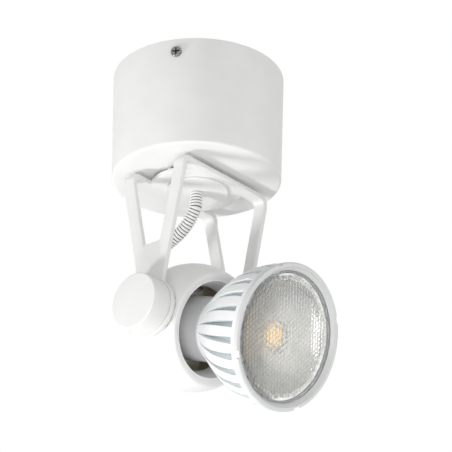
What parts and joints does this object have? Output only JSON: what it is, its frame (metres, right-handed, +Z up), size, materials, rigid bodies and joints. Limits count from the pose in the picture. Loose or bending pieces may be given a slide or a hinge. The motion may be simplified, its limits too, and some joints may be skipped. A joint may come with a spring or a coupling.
{
  "type": "ceiling spotlight",
  "caption": "Surface-mounted ceiling spotlight: round canopy, swivelling windowed yoke with side knobs, ball head with ribbed conduit and a finned twist-lock reflector lamp.",
  "frame": {"origin": "centre of the canopy's round rim where it meets the ceiling, which is also the centre of the ceiling screws' circle", "axes": "+Z up into the ceiling, X along the head's tilt axis, the lamp looks towards -Y and a little down"},
  "size_m": [0.0624, 0.0844, 0.1363],
  "materials": {
    "white_paint_canopy": "matt white powder coat on steel",
    "white_paint_yoke": "matt white powder coat on sheet steel",
    "white_cast_head": "matt white coat on die-cast aluminium, unpainted inside",
    "white_sleeve": "matt white coat",
    "white_knob": "matt white coat on turned metal",
    "zinc_steel": "zinc-plated steel",
    "chrome_screw": "bright plated",
    "white_washer": "matt white nylon",
    "grey_fibre": "matt grey nylon",
    "terminal_plastic": "matt natural nylon",
    "brass": "plain",
    "core_brown": "smooth insulation",
    "core_blue": "smooth insulation",
    "core_green": "smooth insulation",
    "conduit_white": "matt ribbed white plastic",
    "ceramic": "unglazed ceramic",
    "spring_bronze": "plain strip",
    "white_lamp_metal": "white coat on die-cast aluminium",
    "lamp_plastic": "smooth pale grey",
    "nickel_pin": "nickel plated",
    "lens_clear": "clear, finely faceted",
    "reflector_silver": "metallised",
    "board_white": "white solder mask on aluminium",
    "led_amber": "silicone over phosphor",
    "board_green": "green solder mask",
    "component_dark": "moulded"
  },
  "bodies": {
    "canopy": {"canopy_shell": "white_paint_canopy", "ceiling_plate": "zinc_steel", "canopy_side_screws": "chrome_screw", "canopy_stop_stud": "zinc_steel", "swivel_bush": "white_washer", "terminal_block": "terminal_plastic", "terminal_tubes": "brass", "terminal_screws": "zinc_steel", "terminal_block_screw": "zinc_steel", "earth_ring_terminal": "brass", "earth_screw": "brass", "live_lead": "core_brown", "neutral_lead": "core_blue", "earth_lead": "core_green"},
    "yoke": {"yoke_bracket": "white_paint_yoke", "swivel_bolt": "white_paint_yoke", "yoke_stop_pin": "zinc_steel", "swivel_washer": "zinc_steel", "swivel_spring_washer": "zinc_steel", "swivel_nut": "zinc_steel", "flex_conduit": "conduit_white", "head_live_lead": "core_brown", "head_neutral_lead": "core_blue", "head_earth_lead": "core_green", "friction_washers": "grey_fibre"},
    "knob_left": {"knob_left": "white_knob", "knob_stud_left": "zinc_steel", "knob_spring_left": "zinc_steel"},
    "knob_right": {"knob_right": "white_knob", "knob_stud_right": "zinc_steel", "knob_spring_right": "zinc_steel"},
    "head": {"ball_shell": "white_cast_head", "mouth_collar": "white_sleeve", "pivot_inserts": "brass", "lampholder": "ceramic", "lampholder_contacts": "spring_bronze", "lampholder_screws": "zinc_steel", "holder_bracket": "zinc_steel", "conduit_gland": "conduit_white", "gland_nut": "zinc_steel"},
    "lamp": {"lamp_heatsink": "white_lamp_metal", "lamp_base": "lamp_plastic", "lamp_pins": "nickel_pin", "lamp_ring": "white_lamp_metal", "lamp_lens": "lens_clear", "lamp_reflector": "reflector_silver", "led_board": "board_white", "led": "led_amber", "driver_board": "board_green", "driver_components": "component_dark"}
  },
  "joints": [
    {"name": "yoke_swivel", "type": "hinge", "parent": "canopy", "child": "yoke", "pos_m": [0, 0, -0.0432], "axis": [0, 0, 1], "range_deg": [-165, 165]},
    {"name": "head_tilt", "type": "hinge", "parent": "yoke", "child": "head", "pos_m": [0, 0, -0.0981], "axis": [1, 0, 0], "range_deg": [-19, 71], "deforming": ["flex_conduit", "head_live_lead", "head_neutral_lead", "head_earth_lead"]},
    {"name": "knob_left_turn", "type": "hinge", "parent": "yoke", "child": "knob_left", "pos_m": [-0.0268, 0, -0.0981], "axis": [-1, 0, 0], "range_deg": [0, 360]},
    {"name": "knob_right_turn", "type": "hinge", "parent": "yoke", "child": "knob_right", "pos_m": [0.0268, 0, -0.0981], "axis": [1, 0, 0], "range_deg": [0, 360]},
    {"name": "lamp_twist", "type": "hinge", "parent": "head", "child": "lamp", "pos_m": [0, 0, -0.0981], "axis": [0, -0.9455, -0.3256], "range_deg": [0, 28]}
  ]
}
